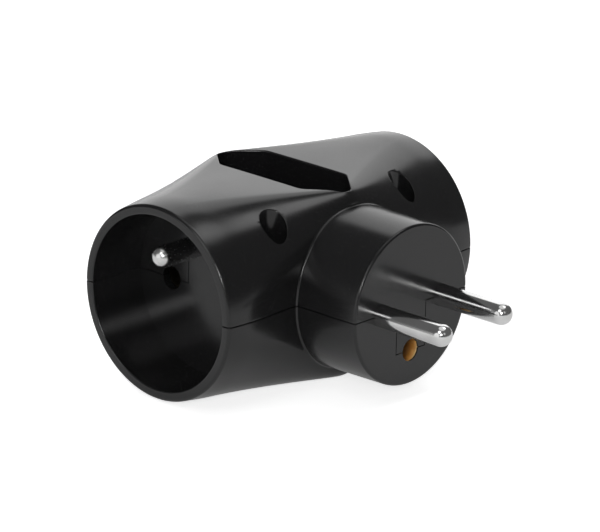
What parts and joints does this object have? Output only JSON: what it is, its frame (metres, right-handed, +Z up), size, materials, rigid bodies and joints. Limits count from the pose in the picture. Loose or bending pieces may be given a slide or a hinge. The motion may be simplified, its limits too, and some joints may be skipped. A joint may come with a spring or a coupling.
{
  "type": "three-way socket adapter",
  "caption": "Black T-shaped mains adapter: a round plug feeds recessed round sockets at both ends and a flat socket on top, in a case of upper and lower shells.",
  "frame": {"origin": "centre of the part's outline seen from above, at the height of the lowest point of the two socket cups", "axes": "+X along the shared axis of the round sockets towards the right socket, -Y the way the plug faces, +Z up out of the flat socket"},
  "size_m": [0.077, 0.0784, 0.0436],
  "materials": {
    "black_plastic": "moulded black plastic with a soft sheen",
    "nickel": "polished nickel plate on turned brass",
    "brass": "stamped and turned brass",
    "steel": "zinc-plated steel"
  },
  "bodies": {
    "root": {"upper_shell": "black_plastic", "lower_shell": "black_plastic", "live_plug_pin": "nickel", "neutral_plug_pin": "nickel", "plug_earth_sleeve": "brass", "live_bar": "brass", "neutral_bar": "brass", "earth_bar": "brass", "left_earth_pin": "nickel", "right_earth_pin": "nickel", "left_live_contact": "brass", "left_live_contact_spring": "steel", "left_neutral_contact": "brass", "left_neutral_contact_spring": "steel", "right_live_contact": "brass", "right_live_contact_spring": "steel", "right_neutral_contact": "brass", "right_neutral_contact_spring": "steel", "flat_live_contact": "brass", "flat_live_contact_spring": "steel", "flat_neutral_contact": "brass", "flat_neutral_contact_spring": "steel", "case_screw_1": "steel", "case_screw_2": "steel", "case_screw_3": "steel", "case_screw_4": "steel"}
  },
  "joints": []
}
